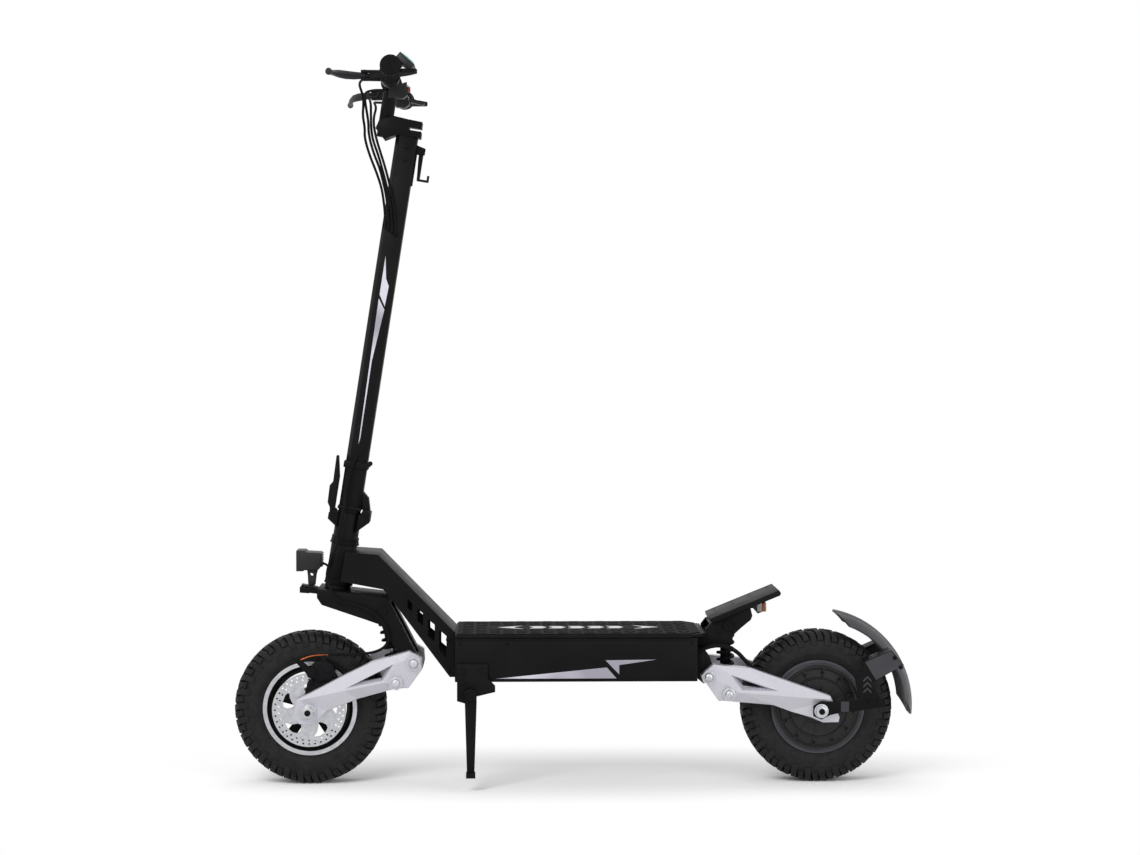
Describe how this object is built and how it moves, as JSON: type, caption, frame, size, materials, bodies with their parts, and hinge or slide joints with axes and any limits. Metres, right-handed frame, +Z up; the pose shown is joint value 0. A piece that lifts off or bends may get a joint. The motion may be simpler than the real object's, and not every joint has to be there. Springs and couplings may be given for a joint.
{
  "type": "electric kick scooter",
  "caption": "Folding electric kick scooter with off-road tyres, leading and trailing arm suspension, hub motor, footrest, fender and kickstand.",
  "frame": {"origin": "on the floor, under the middle of the bounding box", "axes": "-X is forward, +Z is up, +Y is the rider's right side"},
  "size_m": [1.197, 0.613, 1.2809],
  "materials": {
    "black_alloy": "satin",
    "silver_alloy": "satin",
    "black_steel": "satin",
    "zinc_steel": "brushed",
    "tyre": "matt",
    "rubber": "matt",
    "black_plastic": "matt",
    "grey_plastic": "matt",
    "clear": "gloss",
    "red_plastic": "gloss",
    "cell_pack": "matt",
    "copper": "satin"
  },
  "bodies": {
    "chassis": {"neck_frame": "black_alloy", "headset_cups": "black_alloy", "deck_case": "black_alloy", "deck_lid": "black_alloy", "deck_mat": "rubber", "battery_pack": "cell_pack", "motor_controller": "silver_alloy", "charge_port": "black_plastic", "rear_pivot_block": "black_alloy", "footrest_bracket": "black_alloy", "footrest_plate": "black_alloy", "tail_light_housing": "black_plastic", "kickstand_bracket": "black_alloy", "chassis_bolts": "zinc_steel"},
    "steering": {"fork_yoke": "black_alloy", "steerer_tube": "black_alloy", "fold_base": "black_alloy", "steering_pins": "zinc_steel", "headlight_housing": "black_plastic", "headlight_lens": "clear", "brake_cable_upper": "rubber", "brake_cable_lower": "rubber"},
    "latch": {"latch_lever": "black_alloy"},
    "stem": {"stem_tube": "black_alloy", "stem_clamp": "black_alloy", "handlebar": "black_alloy", "grips": "rubber", "brake_perches": "black_alloy", "hook_strip_and_pins": "black_steel", "display_housing": "black_plastic", "display_glass": "clear", "bar_controls": "black_plastic", "control_cables": "rubber"},
    "hook": {"stem_hook": "black_alloy"},
    "left_lever": {"brake_lever_left": "black_alloy"},
    "right_lever": {"brake_lever_right": "black_alloy"},
    "horn": {"horn_button": "red_plastic"},
    "throttle": {"throttle_trigger": "black_plastic"},
    "front_arm": {"front_arms": "silver_alloy", "front_axle_and_bolts": "zinc_steel", "front_caliper": "black_steel"},
    "front_wheel": {"front_rim": "black_alloy", "front_tyre": "tyre", "front_disc": "zinc_steel", "front_bearings": "zinc_steel"},
    "front_shock": {"front_shock_body": "black_alloy"},
    "front_rod": {"front_shock_rod": "zinc_steel"},
    "rear_arm": {"rear_arms": "silver_alloy", "rear_axle_and_bolts": "zinc_steel", "motor_stator": "copper", "fender_brackets": "black_steel", "fender": "grey_plastic"},
    "rear_wheel": {"hub_motor_shell": "black_alloy", "motor_covers": "black_alloy", "rear_tyre": "tyre", "rear_disc": "zinc_steel"},
    "rear_shock": {"rear_shock_body": "black_alloy"},
    "rear_rod": {"rear_shock_rod": "zinc_steel"},
    "kickstand": {"kickstand_leg": "black_steel", "kickstand_foot": "rubber"}
  },
  "joints": [
    {"name": "steering", "type": "hinge", "parent": "chassis", "child": "steering", "pos_m": [-0.4031, 0, 0.4387], "axis": [0.1547, 0, 0.988], "range_deg": [-45, 45]},
    {"name": "stem_fold", "type": "hinge", "parent": "steering", "child": "stem", "pos_m": [-0.36845, 0, 0.47123], "axis": [0, 1, 0], "range_deg": [0, 88], "deforming": ["brake_cable_upper"]},
    {"name": "latch", "type": "hinge", "parent": "steering", "child": "latch", "pos_m": [-0.42517, 0, 0.47232], "axis": [0, -1, 0], "range_deg": [0, 95]},
    {"name": "hook_swing", "type": "hinge", "parent": "stem", "child": "hook", "pos_m": [-0.2688, 0, 1.10889], "axis": [0, -1, 0], "range_deg": [0, 85]},
    {"name": "left_brake", "type": "hinge", "parent": "stem", "child": "left_lever", "pos_m": [-0.35861, -0.17104, 1.22451], "axis": [0, 0, 1], "range_deg": [0, 14], "stiffness_Nm_per_rad": 2.5, "springref_deg": -2.86},
    {"name": "right_brake", "type": "hinge", "parent": "stem", "child": "right_lever", "pos_m": [-0.35861, 0.17104, 1.22451], "axis": [0, 0, -1], "range_deg": [0, 14], "stiffness_Nm_per_rad": 2.5, "springref_deg": -2.86},
    {"name": "horn_press", "type": "slide", "parent": "stem", "child": "horn", "axis": [-1, 0, 0], "range_m": [0, 0.002], "stiffness_N_per_m": 400, "springref_m": -0.0005},
    {"name": "throttle_push", "type": "hinge", "parent": "stem", "child": "throttle", "pos_m": [-0.29116, 0.13859, 1.21151], "axis": [0, 1, 0], "range_deg": [0, 20], "stiffness_Nm_per_rad": 0.15, "springref_deg": -11.46},
    {"name": "front_suspension", "type": "hinge", "parent": "steering", "child": "front_arm", "pos_m": [-0.2817, 0, 0.2183], "axis": [0, 1, 0], "range_deg": [0, 9], "stiffness_Nm_per_rad": 287, "springref_deg": -9, "deforming": ["brake_cable_lower"]},
    {"name": "front_wheel_spin", "type": "hinge", "parent": "front_arm", "child": "front_wheel", "pos_m": [-0.465, 0, 0.1335], "axis": [0, 1, 0], "continuous": true},
    {"name": "front_shock_tilt", "type": "hinge", "parent": "steering", "child": "front_shock", "pos_m": [-0.3364, 0, 0.3081], "axis": [0, 1, 0], "range_deg": [-0.2, 2.05]},
    {"name": "front_rod_slide", "type": "slide", "parent": "front_shock", "child": "front_rod", "axis": [-0.1877, 0, 0.9822], "range_m": [-0.0003, 0.0063]},
    {"name": "rear_suspension", "type": "hinge", "parent": "chassis", "child": "rear_arm", "pos_m": [0.2312, 0, 0.1927], "axis": [0, -1, 0], "range_deg": [0, 9], "stiffness_Nm_per_rad": 330, "springref_deg": -9},
    {"name": "rear_wheel_spin", "type": "hinge", "parent": "rear_arm", "child": "rear_wheel", "pos_m": [0.427, 0, 0.1335], "axis": [0, 1, 0], "continuous": true},
    {"name": "rear_shock_tilt", "type": "hinge", "parent": "chassis", "child": "rear_shock", "pos_m": [0.2671, 0, 0.2792], "axis": [0, 1, 0], "range_deg": [-2.4, 0.2]},
    {"name": "rear_rod_slide", "type": "slide", "parent": "rear_shock", "child": "rear_rod", "axis": [0.0017, 0, 1], "range_m": [-0.0003, 0.0062]},
    {"name": "kickstand_fold", "type": "hinge", "parent": "chassis", "child": "kickstand", "pos_m": [-0.1826, -0.118, 0.1656], "axis": [0, -1, 0], "range_deg": [0, 86]}
  ],
  "couplings": [
    {"joint": "front_shock_tilt", "follows": "front_suspension", "ratio": 0.2061},
    {"joint": "front_rod_slide", "follows": "front_suspension", "m_per_rad": 0.038494},
    {"joint": "rear_shock_tilt", "follows": "rear_suspension", "ratio": -0.24426},
    {"joint": "rear_rod_slide", "follows": "rear_suspension", "m_per_rad": 0.037433}
  ]
}
